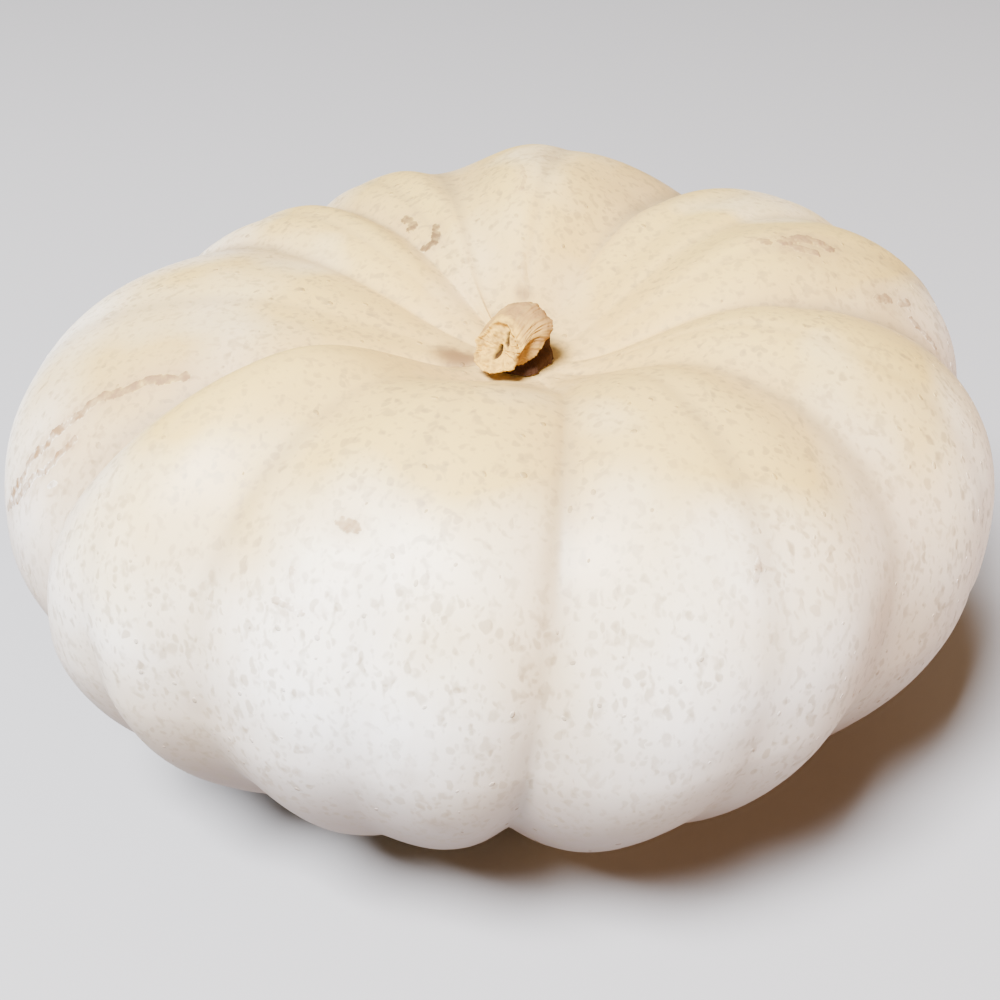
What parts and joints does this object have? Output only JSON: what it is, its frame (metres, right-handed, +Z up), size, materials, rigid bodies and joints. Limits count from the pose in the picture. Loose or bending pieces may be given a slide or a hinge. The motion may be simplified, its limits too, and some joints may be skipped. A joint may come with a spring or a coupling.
{
  "type": "pumpkin",
  "caption": "Flat, deeply lobed white pumpkin with a sunken crown, a short broken corky stem and a dished underside pressed flat where it rests.",
  "frame": {"origin": "middle of the footprint's box, on the surface that the pumpkin rests on", "axes": "+Z up towards the stem, -Y towards the side that the picture shows, +X to that view's right"},
  "size_m": [0.3256, 0.306, 0.1804],
  "materials": {
    "rind": "waxy creamy white pumpkin rind with fine tan specks, soft sheen",
    "stem_cork": "dry corky pumpkin stem, cream where it is broken, dark brown under the overhang"
  },
  "bodies": {
    "root": {"fruit": "rind", "stem": "stem_cork"}
  },
  "joints": []
}
